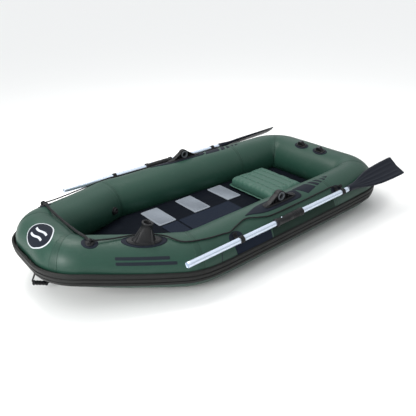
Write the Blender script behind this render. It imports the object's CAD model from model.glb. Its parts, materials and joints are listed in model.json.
import json
import math

import bpy
import numpy as np
from mathutils import Matrix, Vector
from mathutils.geometry import delaunay_2d_cdt

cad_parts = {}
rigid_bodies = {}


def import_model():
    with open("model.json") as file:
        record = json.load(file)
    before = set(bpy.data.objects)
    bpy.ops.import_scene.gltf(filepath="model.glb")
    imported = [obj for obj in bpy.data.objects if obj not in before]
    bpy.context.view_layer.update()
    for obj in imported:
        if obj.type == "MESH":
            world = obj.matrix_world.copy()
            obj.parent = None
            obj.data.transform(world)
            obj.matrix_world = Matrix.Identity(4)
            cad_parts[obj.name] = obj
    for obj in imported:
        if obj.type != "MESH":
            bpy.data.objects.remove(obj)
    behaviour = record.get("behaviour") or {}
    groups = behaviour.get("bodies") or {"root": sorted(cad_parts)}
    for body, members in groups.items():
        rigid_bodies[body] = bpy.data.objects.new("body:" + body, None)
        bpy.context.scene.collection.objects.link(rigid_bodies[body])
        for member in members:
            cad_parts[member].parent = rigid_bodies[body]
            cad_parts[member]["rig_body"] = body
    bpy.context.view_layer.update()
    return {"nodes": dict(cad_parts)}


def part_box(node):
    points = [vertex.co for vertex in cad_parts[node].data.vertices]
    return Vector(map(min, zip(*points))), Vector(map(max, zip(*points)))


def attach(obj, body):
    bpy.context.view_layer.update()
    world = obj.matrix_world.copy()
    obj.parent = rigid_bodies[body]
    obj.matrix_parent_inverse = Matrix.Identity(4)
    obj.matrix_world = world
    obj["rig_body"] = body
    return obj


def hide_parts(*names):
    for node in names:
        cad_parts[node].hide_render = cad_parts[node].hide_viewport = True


# An inflatable rowing boat with its oars stowed along the side tubes.
# Metres: +X to the bow, +Y to port, +Z up, ground at 0.
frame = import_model()
scene = bpy.context.scene
scene.view_settings.view_transform = "Standard"
print("frame loaded:", len(frame["nodes"]), "nodes")


# Camera, floor and light

view = {
    "place": (1.78997, 2.48720, 1.63060),
    "right": (-0.79311, 0.60704, -0.04983),
    "up": (-0.30293, -0.32216, 0.89691),
    "lens": 46.27,
}
light = {
    "horizonColour": (0.56, 0.57, 0.58, 1),
    "zenithColour": (1.34, 1.36, 1.38, 1),
    "floorColour": (0.93, 0.93, 0.92, 1),
    "overhead": {"place": (0.5, -1.1, 3.1), "size": 1.8, "power": 60, "colour": (1, 0.985, 0.96)},
    "front": {"place": (3.6, 0.9, 1.5), "size": 1.4, "power": 84, "colour": (1, 1, 1)},
    "back": {"place": (-2.4, -2.2, 1.9), "size": 2.0, "power": 6, "colour": (0.94, 0.97, 1)},
}


def addCamera():
    camera = bpy.data.objects.new("camera", bpy.data.cameras.new("camera"))
    right = Vector(view["right"]).normalized()
    up = Vector(view["up"])
    up = (up - right * up.dot(right)).normalized()
    back = right.cross(up)
    turn = Matrix((right, up, back)).transposed().to_4x4()
    camera.matrix_world = Matrix.Translation(view["place"]) @ turn
    camera.data.lens = view["lens"]
    camera.data.sensor_width = 36
    camera.data.clip_start = 0.05
    camera.data.clip_end = 60
    scene.collection.objects.link(camera)
    scene.camera = camera


def addLight(name, place, size, power, colour):
    lamp = bpy.data.lights.new(name, "AREA")
    lamp.shape = "DISK"
    lamp.size = size
    lamp.energy = power
    lamp.color = colour
    item = bpy.data.objects.new(name, lamp)
    item.location = place
    item.rotation_mode = "QUATERNION"
    item.rotation_quaternion = (Vector(place) - Vector((0, 0, 0.15))).to_track_quat("Z", "Y")
    scene.collection.objects.link(item)


addCamera()
for lampName in ("overhead", "front", "back"):
    addLight(lampName, **light[lampName])


# Node trees written as Python

class Wire:  # an output socket that takes part in Python sums
    def __init__(self, graph, socket):
        self.graph = graph
        self.socket = socket

    def math(self, operation, *values):
        return self.graph.add(
            "ShaderNodeMath", {"operation": operation}, dict(enumerate((self, *values)))
        )

    def out(self, name):
        return Wire(self.graph, self.socket.node.outputs[name])

    def __add__(self, other):
        return self.math("ADD", other)

    def __radd__(self, other):
        return self.math("ADD", other)

    def __sub__(self, other):
        return self.math("SUBTRACT", other)

    def __rsub__(self, other):
        return self.graph.add("ShaderNodeMath", {"operation": "SUBTRACT"}, {0: other, 1: self})

    def __mul__(self, other):
        return self.math("MULTIPLY", other)

    def __rmul__(self, other):
        return self.math("MULTIPLY", other)

    def __truediv__(self, other):
        return self.math("DIVIDE", other)

    def __pow__(self, other):
        return self.math("POWER", other)

    def __gt__(self, other):
        return self.math("GREATER_THAN", other)


class Graph:
    def __init__(self, tree):
        self.tree = tree

    def add(self, kind, settings=None, values=None, out=0):
        node = self.tree.nodes.new(kind)
        for name, value in (settings or {}).items():
            if name == "stops":
                setStops(node.color_ramp, value)
            else:
                setattr(node, name, value)
        for name, value in (values or {}).items():
            if isinstance(value, Wire):
                self.tree.links.new(value.socket, node.inputs[name])
            else:
                node.inputs[name].default_value = value
        return Wire(self, node.outputs[out]) if len(node.outputs) else node

    def mix(self, factor, a, b):
        return self.add("ShaderNodeMix", {"data_type": "RGBA"}, {0: factor, 6: a, 7: b}, out=2)


def setStops(ramp, stops):
    while len(ramp.elements) < len(stops):
        ramp.elements.new(0.5)
    for element, (position, value) in zip(ramp.elements, stops):
        element.position = position
        element.color = (value, value, value, 1)


def tint(colour, factor):
    return (colour[0] * factor, colour[1] * factor, colour[2] * factor, 1)


def newMaterial(name):
    material = bpy.data.materials.new(name)
    material.use_nodes = True
    material.node_tree.nodes.clear()
    graph = Graph(material.node_tree)
    graph.coords = graph.add("ShaderNodeTexCoord", out="Object")
    return material, graph


def addWorld():  # a pale sky, bright overhead and darker low down
    world = bpy.data.worlds.new("studio")
    world.use_nodes = True
    world.node_tree.nodes.clear()
    graph = Graph(world.node_tree)
    direction = graph.add("ShaderNodeTexCoord", out="Generated")
    height = graph.add("ShaderNodeSeparateXYZ", None, {"Vector": direction}, "Z")
    lift = graph.add("ShaderNodeMath", {"operation": "MAXIMUM"}, {0: height, 1: 0.0})
    colour = graph.mix(lift * lift, light["horizonColour"], light["zenithColour"])
    shader = graph.add("ShaderNodeBackground", None, {"Color": colour, "Strength": 1.0})
    graph.add("ShaderNodeOutputWorld", None, {"Surface": shader})
    scene.world = world


addWorld()


def noise(graph, scale, detail=3.0, roughness=0.5, coords=None):
    values = {
        "Vector": coords or graph.coords, "Scale": scale, "Detail": detail, "Roughness": roughness
    }
    return graph.add("ShaderNodeTexNoise", None, values, "Fac")


def finishMaterial(
    graph, colour, roughness, height, distance, metallic=0.0, sheen=0.0, coat=0.0, level=0.5
):
    bump = graph.add("ShaderNodeBump", None, {"Strength": 1.0, "Distance": distance, "Height": height})
    values = {
        "Base Color": colour,
        "Roughness": roughness,
        "Metallic": metallic,
        "Normal": bump,
        "Specular IOR Level": level,
        "Sheen Weight": sheen,
        "Coat Weight": coat,
        "Coat Roughness": 0.25,
    }
    shader = graph.add("ShaderNodeBsdfPrincipled", None, values)
    graph.add("ShaderNodeOutputMaterial", None, {"Surface": shader})


# Coated fabric: a faint woven base under a smooth skin, cloudy colour, rubbed lighter in patches
def coatedFabric(name, colour, roughness=0.42, weave=900.0, cloud=0.08, rub=0.12, coat=0.0, level=0.5):
    material, graph = newMaterial(name)
    clouds = noise(graph, 2.6, 4.0, 0.55)
    fine = noise(graph, 38.0, 4.0, 0.6)
    scuffs = graph.add(
        "ShaderNodeValToRGB", {"stops": [(0.56, 0.0), (0.72, 1.0)]},
        {"Fac": noise(graph, 9.0, 6.0, 0.7)},
    )
    shade = (clouds - 0.5) * (cloud * 2) + (fine - 0.5) * cloud + 1
    deep = graph.mix((shade - 0.85) * 3.3, tint(colour, 0.84), tint(colour, 1.14))
    rubbed = tuple(c * 0.8 + 0.2 * 0.35 for c in colour[:3]) + (1,)
    base = graph.mix(scuffs * rub, deep, rubbed)
    across = graph.add(
        "ShaderNodeTexWave", {"bands_direction": "X"}, {"Vector": graph.coords, "Scale": weave}, "Fac"
    )
    along = graph.add(
        "ShaderNodeTexWave", {"bands_direction": "Y"}, {"Vector": graph.coords, "Scale": weave}, "Fac"
    )
    height = (across * along) * 0.06 + fine * 0.5 + noise(graph, 240.0, 2.0, 0.5) * 0.2
    finishMaterial(graph, base, roughness + (fine - 0.5) * 0.16 + scuffs * 0.08, height, 0.0007,
                   coat=coat, level=level)
    return material


# Moulded rubber: fine grain, edges worn paler
def mouldedRubber(name, colour, roughness=0.55, grain=420.0, wear=0.5, level=0.25):
    material, graph = newMaterial(name)
    grainNoise = noise(graph, grain, 3.0, 0.6)
    patches = noise(graph, 14.0, 4.0, 0.6)
    point = graph.add("ShaderNodeNewGeometry", out="Pointiness")
    edge = graph.add("ShaderNodeValToRGB", {"stops": [(0.52, 0.0), (0.6, 1.0)]}, {"Fac": point})
    base = graph.mix(patches, tint(colour, 0.8), tint(colour, 1.3))
    worn = graph.mix(edge * wear * patches, base, tint(colour, 2.6))
    finishMaterial(
        graph, worn, roughness + (patches - 0.5) * 0.22, grainNoise * 0.6 + patches * 0.4, 0.0004,
        level=level,
    )
    return material


# Drawn tube: long fine scratches and a few dull patches
def drawnMetal(name, colour, roughness=0.24):
    material, graph = newMaterial(name)
    stretched = graph.add(
        "ShaderNodeMapping", None, {"Vector": graph.coords, "Scale": (3.0, 240.0, 240.0)}
    )
    scratches = noise(graph, 5.0, 3.0, 0.6, stretched)
    dull = noise(graph, 11.0, 5.0, 0.65)
    base = graph.mix(dull, tint(colour, 0.9), tint(colour, 1.04))
    finishMaterial(
        graph,
        base,
        roughness + (scratches - 0.5) * 0.16 + (dull - 0.5) * 0.14,
        scratches,
        0.00012,
        metallic=0.78,
    )
    return material


# Webbing: diagonal ribs of the weave over the piece's own run
def webbing(name, colour, pitch=520.0):
    material, graph = newMaterial(name)
    ribs = graph.add(
        "ShaderNodeTexWave",
        {"bands_direction": "DIAGONAL"},
        {"Vector": graph.coords, "Scale": pitch, "Distortion": 1.5},
        "Fac",
    )
    rows = graph.add(
        "ShaderNodeTexWave",
        {"bands_direction": "Z"},
        {"Vector": graph.coords, "Scale": pitch * 0.7},
        "Fac",
    )
    fluff = noise(graph, 160.0, 4.0, 0.7)
    base = graph.mix(ribs * 0.6 + fluff * 0.4, tint(colour, 0.6), tint(colour, 1.5))
    finishMaterial(
        graph, base, 0.75 + (fluff - 0.5) * 0.2, ribs * 0.6 + rows * 0.4, 0.0006, sheen=0.05, level=0.2
    )
    return material


# Moulded plastic: orange-peel skin, light scratches
def mouldedPlastic(name, colour, roughness=0.4, peel=120.0, scratch=0.2, level=0.35):
    material, graph = newMaterial(name)
    skin = noise(graph, peel, 2.0, 0.4)
    slow = noise(graph, 6.0, 4.0, 0.6)
    marks = graph.add(
        "ShaderNodeValToRGB", {"stops": [(0.6, 0.0), (0.66, 1.0)]},
        {"Fac": noise(graph, 55.0, 8.0, 0.8)},
    )
    base = graph.mix(slow, tint(colour, 0.88), tint(colour, 1.12))
    marked = graph.mix(marks * scratch, base, tint(colour, 1.9))
    finishMaterial(
        graph,
        marked,
        roughness + marks * 0.15 + (slow - 0.5) * 0.1,
        skin * 0.7 + marks * 0.3,
        0.0004,
        level=level,
    )
    return material


colours = {
    "green": (0.0135, 0.0490, 0.0335),
    "seat": (0.034, 0.092, 0.068),
    "strake": (0.0085, 0.009, 0.0085),
    "navy": (0.0085, 0.0115, 0.019),
    "mat": (0.0035, 0.005, 0.0085),
    "panel": (0.0065, 0.011, 0.022),
    "board": (0.20, 0.225, 0.26),
    "rubber": (0.0055, 0.0058, 0.0068),
    "liner": (0.085, 0.095, 0.105),
    "metal": (0.62, 0.7, 0.82),
    "blade": (0.0055, 0.008, 0.015),
    "rope": (0.006, 0.0065, 0.0075),
    "bottom": (0.022, 0.032, 0.022),
    "print": (0.0075, 0.0125, 0.019),
    "white": (0.5, 0.53, 0.56),
    "thread": (0.03, 0.034, 0.038),
}
greenFabric = coatedFabric("green_coated_fabric", colours["green"], 0.42, level=0.32)
tapeFabric = coatedFabric("green_seam_tape", tint(colours["green"], 0.88), 0.46, level=0.3)
seatFabric = coatedFabric("seat_coated_fabric", colours["seat"], 0.46, cloud=0.1, level=0.3)
padFabric = coatedFabric("navy_pad_fabric", colours["navy"], 0.6, cloud=0.12, rub=0.06, level=0.12)
matFabric = coatedFabric("mat_fabric", colours["mat"], 0.74, cloud=0.16, rub=0.04, level=0.05)
panelFabric = coatedFabric("panel_fabric", colours["panel"], 0.66, cloud=0.14, rub=0.05, level=0.10)
bottomFabric = coatedFabric("bottom_fabric", colours["bottom"], 0.6, cloud=0.12, level=0.2)
boardFabric = mouldedPlastic("board_plastic", colours["board"], 0.55, 90.0, 0.1)
strakeRubber = mouldedRubber("strake_rubber", colours["strake"], 0.55, 300.0, 0.35)
fittingRubber = mouldedRubber("fitting_rubber", colours["rubber"], 0.45)
linerPlastic = mouldedPlastic("liner_plastic", colours["liner"], 0.35)
shaftMetal = drawnMetal("shaft_aluminium", colours["metal"])
bladePlastic = mouldedPlastic("blade_plastic", colours["blade"], 0.42, level=0.16)
ropeFibre = webbing("rope_fibre", colours["rope"], 300.0)
strapWebbing = webbing("strap_webbing", colours["rubber"])
darkFabric = coatedFabric("dark_green_band", tint(colours["green"], 0.42), 0.55, level=0.14)
printInk = coatedFabric("print_ink", colours["print"], 0.5, cloud=0.1, rub=0.05, level=0.22)
whiteInk = coatedFabric("white_ink", colours["white"], 0.5, cloud=0.03, rub=0.1)
threadFibre = webbing("stitch_thread", colours["thread"], 700.0)
print("materials ready")


# The hull line: the tube's axis in plan, the same rule as the frame's, walked in fine steps

hullLine = {
    "length": 2.300,
    "tubeRadius": 0.145,
    "bowSlimmer": 0.015,
    "axisHeight": 0.1503,
    "bowLift": 0.104,
    "liftPower": 1.6,
    "liftStart": 0.305,
    "bow": (0.192, 0.138),  # half width, corner radius
    "shoulder": (0.451, 0.475, 0.200),
    "sternShoulder": (-0.571, 0.434, 0.200),
    "stern": (0.408, 0.152),
    "step": 0.012,
}
bowX = hullLine["length"] / 2 - hullLine["tubeRadius"] + hullLine["bowSlimmer"]
sternX = hullLine["tubeRadius"] - hullLine["length"] / 2


def rise(x):
    t = np.clip((np.asarray(x) - hullLine["liftStart"]) / (bowX - hullLine["liftStart"]), 0, 1)
    return t ** hullLine["liftPower"]


def walkPortSide():
    bow, shoulder, sternShoulder, stern = (
        hullLine[k] for k in ("bow", "shoulder", "sternShoulder", "stern")
    )
    corners = [
        (bowX, bow[0], bow[1]), shoulder, sternShoulder, (sternX, stern[0], stern[1]), (sternX, 0, 0)
    ]
    place = np.array((bowX, 0.0))
    rows, seams, walked = [], [], 0.0
    before = place
    for number, (x, y, radius) in enumerate(corners):
        here = np.array((x, y))
        into = (here - before) / np.linalg.norm(here - before)
        if radius:
            after = np.array(corners[number + 1][:2])
            out = (after - here) / np.linalg.norm(after - here)
            turn = math.acos(np.clip(into @ out, -1, 1))
            start = here - into * radius * math.tan(turn / 2)
        else:
            start, turn = here, 0.0
        run = np.linalg.norm(start - place)
        steps = max(1, round(run / hullLine["step"]))
        rows += [
            (*(place + (start - place) * i / steps), *into, walked + run * i / steps)
            for i in range(steps)
        ]
        walked += run
        if not radius:
            rows.append((*here, *into, walked))
            break
        centre = start + np.array((-into[1], into[0])) * radius
        bends = max(4, 2 * round(radius * turn / hullLine["step"] / 2))
        seams.append((walked + radius * turn / 2, turn))
        for i in range(bends):
            a = turn * i / bends
            spin = np.array(((math.cos(a), -math.sin(a)), (math.sin(a), math.cos(a))))
            rows.append((*(centre + spin @ (start - centre)), *(spin @ into), walked + radius * a))
        walked += radius * turn
        place = here + out * radius * math.tan(turn / 2)
        before = here
    return np.array(rows), seams, walked


portRows, portSeams, halfLoop = walkPortSide()
wholeLoop = 2 * halfLoop
mirrored = portRows[1:-1][::-1] * (1, -1, -1, 1, -1) + (0, 0, 0, 0, wholeLoop)
loopRows = np.vstack([portRows, mirrored, portRows[:1] + (0, 0, 0, 0, wholeLoop)])


def tubeAt(s, degrees, lift=0.0):
    s = np.mod(np.asarray(s, float), wholeLoop)
    x, y, tx, ty = (np.interp(s, loopRows[:, 4], loopRows[:, k]) for k in range(4))
    size = np.hypot(tx, ty)
    up = rise(x)
    radius = hullLine["tubeRadius"] - hullLine["bowSlimmer"] * up + lift
    a = np.radians(degrees)
    z = hullLine["axisHeight"] + hullLine["bowLift"] * up + radius * np.sin(a)
    return np.stack(
        np.broadcast_arrays(x + ty / size * radius * np.cos(a), y - tx / size * radius * np.cos(a), z),
        -1,
    )


def stationOf(x, side):  # side is 1 to port and -1 to starboard
    band = (portRows[:, 1] > hullLine["bow"][0] / 2) & (
        portRows[:, 4] < halfLoop - hullLine["stern"][0] * 0.6
    )
    rows = portRows[band]
    s = float(np.interp(-x, -rows[:, 0], rows[:, 4]))
    return s if side > 0 else wholeLoop - s


class Spot:  # a place on the tube, with directions along it, across it and out of it
    def __init__(self, s, degrees, side=1):
        self.s, self.degrees, self.side = s, degrees, side
        self.radius = hullLine["tubeRadius"] - hullLine["bowSlimmer"] * rise(tubeAt(s, 90)[0])
        self.at = Vector(tubeAt(s, degrees))
        self.out = (Vector(tubeAt(s, degrees, 0.01)) - self.at).normalized()
        self.along = (
            Vector(tubeAt(s - side * 0.004, degrees)) - Vector(tubeAt(s + side * 0.004, degrees))
        ).normalized()
        self.across = self.out.cross(self.along).normalized()

    def matrix(self, upright=False):
        out = Vector((0, 0, 1)) if upright else self.out
        along = (self.along - out * self.along.dot(out)).normalized()
        return Matrix.Translation(self.at) @ Matrix(
            (along, out.cross(along), out)
        ).transposed().to_4x4()

    def onto(self, points, lift):  # flat points (along, across) wrapped on the tube
        points = np.asarray(points, float)
        turn = np.degrees(points[:, 1] / self.radius) * self.side
        return skinAt(self.s - self.side * points[:, 0], self.degrees - turn, lift)


def sideSpot(x, side, degrees):
    return Spot(stationOf(x, side), degrees, side)


def bowSpot(y, degrees):
    return Spot(y % wholeLoop, degrees)


def sternSpot(y, degrees):
    return Spot(halfLoop - y, degrees)


# Making pieces

def newPiece(name, points, faces, material, body="hull", smooth=True):
    mesh = bpy.data.meshes.new(name)
    mesh.from_pydata([tuple(p) for p in points], [], [tuple(f) for f in faces])
    mesh.update()
    mesh.polygons.foreach_set("use_smooth", [smooth] * len(mesh.polygons))
    piece = bpy.data.objects.new(name, mesh)
    scene.collection.objects.link(piece)
    if material:
        mesh.materials.append(material)
    if body:
        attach(piece, body)
    return piece


def outward(points, faces):  # turns the faces of a closed shape so that they look out
    points = np.asarray(points, float)
    total = 0.0
    for face in faces:
        a = points[face[0]]
        for i in range(1, len(face) - 1):
            total += a @ np.cross(points[face[i]], points[face[i + 1]])
    return [tuple(reversed(f)) for f in faces] if total < 0 else [tuple(f) for f in faces]


# Skins a row of equal rings, in an array of (ring, point, xyz)
def loft(name, rings, material, body="hull", closed=False, caps=True):
    rings = np.asarray(rings, float)
    count, sides = rings.shape[:2]
    points = rings.reshape(-1, 3).tolist()
    faces = []
    for i in range(count if closed else count - 1):
        k = (i + 1) % count
        for j in range(sides):
            m = (j + 1) % sides
            faces.append((i * sides + j, k * sides + j, k * sides + m, i * sides + m))
    if not closed and caps:
        for ring, flip in ((0, True), (count - 1, False)):
            hub = len(points)
            points.append(rings[ring].mean(0).tolist())
            for j in range(sides):
                pair = (ring * sides + j, ring * sides + (j + 1) % sides)
                faces.append((hub, *(pair if flip else pair[::-1])))
    return newPiece(name, points, outward(points, faces), material, body)


# Rings about local Z from (radius, height) corners, placed by a matrix
def turned(name, profile, matrix, material, body="hull", sides=40, ring=False, stretch=(1, 1)):
    angles = np.linspace(0, 2 * math.pi, sides, endpoint=False)
    rings = np.array(
        [
            [(r * math.cos(a) * stretch[0], r * math.sin(a) * stretch[1], z) for a in angles]
            for r, z in profile
        ]
    )
    flat = rings.reshape(-1, 3) @ np.array(matrix.to_3x3()).T + np.array(matrix.translation)
    return loft(name, flat.reshape(rings.shape), material, body, closed=ring)


def rounded(points, radius, steps=4, closed=False):  # softens the corners of a row of points
    points = [np.array(p, float) for p in points]
    kept = []
    for i, here in enumerate(points):
        if not closed and i in (0, len(points) - 1):
            kept.append(here)
            continue
        a, b = points[i - 1], points[(i + 1) % len(points)]
        into, out = a - here, b - here
        reach = min(radius, np.linalg.norm(into) * 0.45, np.linalg.norm(out) * 0.45)
        p = here + into / np.linalg.norm(into) * reach
        q = here + out / np.linalg.norm(out) * reach
        for k in range(steps + 1):
            t = k / steps
            kept.append((1 - t) ** 2 * p + 2 * t * (1 - t) * here + t * t * q)
    return np.array(kept)


def ellipsePoints(rx, ry, count=56):
    a = np.linspace(0, 2 * math.pi, count, endpoint=False)
    return np.stack([rx * np.cos(a), ry * np.sin(a)], -1)


def resampled(points, step, closed=True):
    points = np.asarray(points, float)
    ring = np.vstack([points, points[:1]]) if closed else points
    far = np.concatenate([[0], np.cumsum(np.linalg.norm(np.diff(ring, axis=0), axis=1))])
    count = max(8, round(far[-1] / step))
    at = np.linspace(0, far[-1], count, endpoint=False) if closed else np.linspace(
        0, far[-1], count + 1
    )
    return np.stack([np.interp(at, far, ring[:, k]) for k in range(ring.shape[1])], -1)


def inset(points, distance):
    ahead, behind = np.roll(points, -1, 0), np.roll(points, 1, 0)
    along = ahead - behind
    normal = np.stack([-along[:, 1], along[:, 0]], -1) / np.maximum(
        np.linalg.norm(along, axis=1), 1e-9
    )[:, None]
    return points + normal * distance


def area2(points):
    x, y = points[:, 0], points[:, 1]
    return float(np.sum(x * np.roll(y, -1) - y * np.roll(x, -1)))


# A closed sheet over a flat outline: fine at its edge, gridded inside, carried by two functions
def plate(
    name, outline, top, bottom, material, body="hull", step=0.012, edge=(0.0006, 0.0016, 0.0032),
    edgeStep=None,
):
    outline = resampled(outline, edgeStep or step * 0.5)
    if area2(outline) < 0:
        outline = outline[::-1]
    rings = [outline] + [inset(outline, d) for d in edge]
    count = len(outline)
    low, high = outline.min(0), outline.max(0)
    grid = np.stack(
        np.meshgrid(np.arange(low[0], high[0], step), np.arange(low[1], high[1], step)), -1
    ).reshape(-1, 2)
    a, b = outline, np.roll(outline, -1, 0)
    gap = np.full(len(grid), 9.0)
    within = np.zeros(len(grid), bool)
    for p, q in zip(a, b):
        d = q - p
        t = np.clip(((grid - p) @ d) / (d @ d), 0, 1)
        gap = np.minimum(gap, np.linalg.norm(grid - p - t[:, None] * d, axis=1))
        cross = (p[1] > grid[:, 1]) != (q[1] > grid[:, 1])
        hit = d[0] * (grid[:, 1] - p[1]) / (d[1] if abs(d[1]) > 1e-12 else 1e-12) + p[0]
        within ^= cross & (grid[:, 0] < hit)
    grid = grid[within & (gap > edge[-1] + step * 0.4)]
    flat = np.vstack(rings + [grid])
    edges = [(i, (i + 1) % count) for i in range(count)]
    made = delaunay_2d_cdt([Vector(p) for p in flat], edges, [], 1, 1e-7)
    points2 = np.array([tuple(v) for v in made[0]])
    faces = [tuple(f) for f in made[2]]
    distance = np.full(len(points2), 9.0)
    for p, q in zip(a, b):
        d = q - p
        t = np.clip(((points2 - p) @ d) / (d @ d), 0, 1)
        distance = np.minimum(distance, np.linalg.norm(points2 - p - t[:, None] * d, axis=1))
    n = len(points2)
    points = np.vstack([top(points2, distance), bottom(points2, distance)])
    seen = {}
    for f in faces:
        for i in range(len(f)):
            pair = (f[i], f[(i + 1) % len(f)])
            seen[pair] = True
    rim = [(i, j) for i, j in seen if (j, i) not in seen]
    allFaces = faces + [tuple(v + n for v in reversed(f)) for f in faces]
    allFaces += [(j, i, i + n, j + n) for i, j in rim]
    return newPiece(name, points, outward(points, allFaces), material, body)


# A thin skin glued on the tube at a spot, its edge rolled down to the tube
def skin(name, spot, outline, thickness, material, body="hull", lift=0.0004, step=0.012, roll=0.003):
    def top(points, distance):
        rounding = np.sqrt(np.clip(1 - (1 - np.clip(distance / roll, 0, 1)) ** 2, 0, 1))
        return spot.onto(points, lift + thickness * rounding)

    def bottom(points, distance):
        return spot.onto(points, np.full(len(points), lift - 0.0002))

    return plate(name, outline, top, bottom, material, body, step, (roll * 0.12, roll * 0.45, roll))


def joined(name, pieces):  # several parts of one moulding as one mesh
    points, faces, slots, materials = [], [], [], []
    for piece in pieces:
        start = len(points)
        points += [tuple(v.co) for v in piece.data.vertices]
        remap = []
        for m in piece.data.materials:
            if m not in materials:
                materials.append(m)
            remap.append(materials.index(m))
        for polygon in piece.data.polygons:
            faces.append(tuple(v + start for v in polygon.vertices))
            slots.append(remap[polygon.material_index])
    body = pieces[0]["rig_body"]
    for piece in pieces:
        mesh = piece.data
        bpy.data.objects.remove(piece)
        bpy.data.meshes.remove(mesh)
    whole = newPiece(name, points, faces, None, body)
    for material in materials:
        whole.data.materials.append(material)
    whole.data.polygons.foreach_set("material_index", slots)
    return whole


def withModifier(piece, kind, **settings):  # adds a modifier and keeps its result as a plain mesh
    modifier = piece.modifiers.new("made", kind)
    for key, value in settings.items():
        setattr(modifier, key, value)
    bpy.context.view_layer.update()
    shape = piece.evaluated_get(bpy.context.evaluated_depsgraph_get())
    mesh = bpy.data.meshes.new_from_object(shape)
    old = piece.data
    piece.modifiers.clear()
    piece.data = mesh
    name = old.name
    bpy.data.meshes.remove(old)
    mesh.name = name
    return piece


def boxPiece(name, size, matrix, material, body="hull", bevel=0.002, segments=3):
    corners = [
        (x * size[0] / 2, y * size[1] / 2, z * size[2] / 2)
        for x in (-1, 1)
        for y in (-1, 1)
        for z in (-1, 1)
    ]
    faces = [(0, 1, 3, 2), (4, 6, 7, 5), (0, 4, 5, 1), (2, 3, 7, 6), (0, 2, 6, 4), (1, 5, 7, 3)]
    points = [tuple(matrix @ Vector(c)) for c in corners]
    piece = newPiece(name, points, outward(points, faces), material, body)
    return withModifier(piece, "BEVEL", width=bevel, segments=segments, limit_method="NONE")


# A flat outline given thickness along local Y, with its edges softened
def slab(name, outline, width, matrix, material, body="hull", bevel=0.0015):
    outline = np.asarray(outline, float)
    if area2(outline) < 0:
        outline = outline[::-1]
    n = len(outline)
    points = [tuple(matrix @ Vector((x, -width / 2, z))) for x, z in outline]
    points += [tuple(matrix @ Vector((x, width / 2, z))) for x, z in outline]
    faces = [tuple(range(n)), tuple(reversed(range(n, 2 * n)))]
    faces += [(i, i + n, (i + 1) % n + n, (i + 1) % n) for i in range(n)]
    piece = newPiece(name, points, outward(points, faces), material, body)
    return withModifier(
        piece, "BEVEL", width=bevel, segments=2, limit_method="ANGLE", angle_limit=math.radians(30)
    )


# Geometry Nodes trees, each with named inputs

def newTree(name, **inputs):
    tree = bpy.data.node_groups.new(name, "GeometryNodeTree")
    tree.interface.new_socket("Geometry", in_out="INPUT", socket_type="NodeSocketGeometry")
    tree.interface.new_socket("Geometry", in_out="OUTPUT", socket_type="NodeSocketGeometry")
    for label, (kind, default) in inputs.items():
        socket = tree.interface.new_socket(label, in_out="INPUT", socket_type="NodeSocket" + kind)
        if default is not None:
            socket.default_value = default
    tree.interface.new_socket("Material", in_out="INPUT", socket_type="NodeSocketMaterial")
    graph = Graph(tree)
    graph.given = graph.add("NodeGroupInput")
    return graph


def endTree(graph, geometry):
    smooth = graph.add("GeometryNodeSetShadeSmooth", None, {"Geometry": geometry})
    plain = graph.add("GeometryNodeRealizeInstances", None, {"Geometry": smooth})
    painted = graph.add(
        "GeometryNodeSetMaterial", None, {"Geometry": plain, "Material": graph.given.out("Material")}
    )
    graph.add("NodeGroupOutput", None, {"Geometry": painted})
    return graph


def grown(name, source, graph, settings, material, body="hull"):
    modifier = source.modifiers.new("grown", "NODES")
    modifier.node_group = graph.tree
    labels = {
        item.name: item.identifier for item in graph.tree.interface.items_tree if item.in_out == "INPUT"
    }
    for label, value in {**settings, "Material": material}.items():
        modifier[labels[label]] = value
    bpy.context.view_layer.update()
    shape = source.evaluated_get(bpy.context.evaluated_depsgraph_get())
    mesh = bpy.data.meshes.new_from_object(shape)
    bpy.data.objects.remove(source)
    mesh.name = name
    piece = bpy.data.objects.new(name, mesh)
    scene.collection.objects.link(piece)
    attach(piece, body)
    return piece


def pathMesh(points, closed=False, girth=None):
    mesh = bpy.data.meshes.new("path")
    count = len(points)
    edges = [(i, (i + 1) % count) for i in range(count if closed else count - 1)]
    mesh.from_pydata([tuple(p) for p in points], edges, [])
    if girth is not None:
        mesh.attributes.new("girth", "FLOAT", "POINT").data.foreach_set(
            "value", np.asarray(girth, np.float32)
        )
    source = bpy.data.objects.new("path", mesh)
    scene.collection.objects.link(source)
    return source


# A profile swept along a level path, its size following the path's girth
def makeSweepTree():
    graph = newTree("sweep_along_hull", Profile=("Object", None))
    given = graph.given
    path = graph.add("GeometryNodeMeshToCurve", None, {"Mesh": given.out("Geometry")})
    level = graph.add("GeometryNodeSetCurveNormal", {"mode": "Z_UP"}, {"Curve": path})
    girth = graph.add("GeometryNodeInputNamedAttribute", {"data_type": "FLOAT"}, {"Name": "girth"})
    thick = graph.add("GeometryNodeSetCurveRadius", None, {"Curve": level, "Radius": girth})
    shape = graph.add("GeometryNodeObjectInfo", None, {"Object": given.out("Profile")}, "Geometry")
    outline = graph.add("GeometryNodeMeshToCurve", None, {"Mesh": shape})
    return endTree(
        graph, graph.add("GeometryNodeCurveToMesh", None, {"Curve": thick, "Profile Curve": outline})
    )


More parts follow.
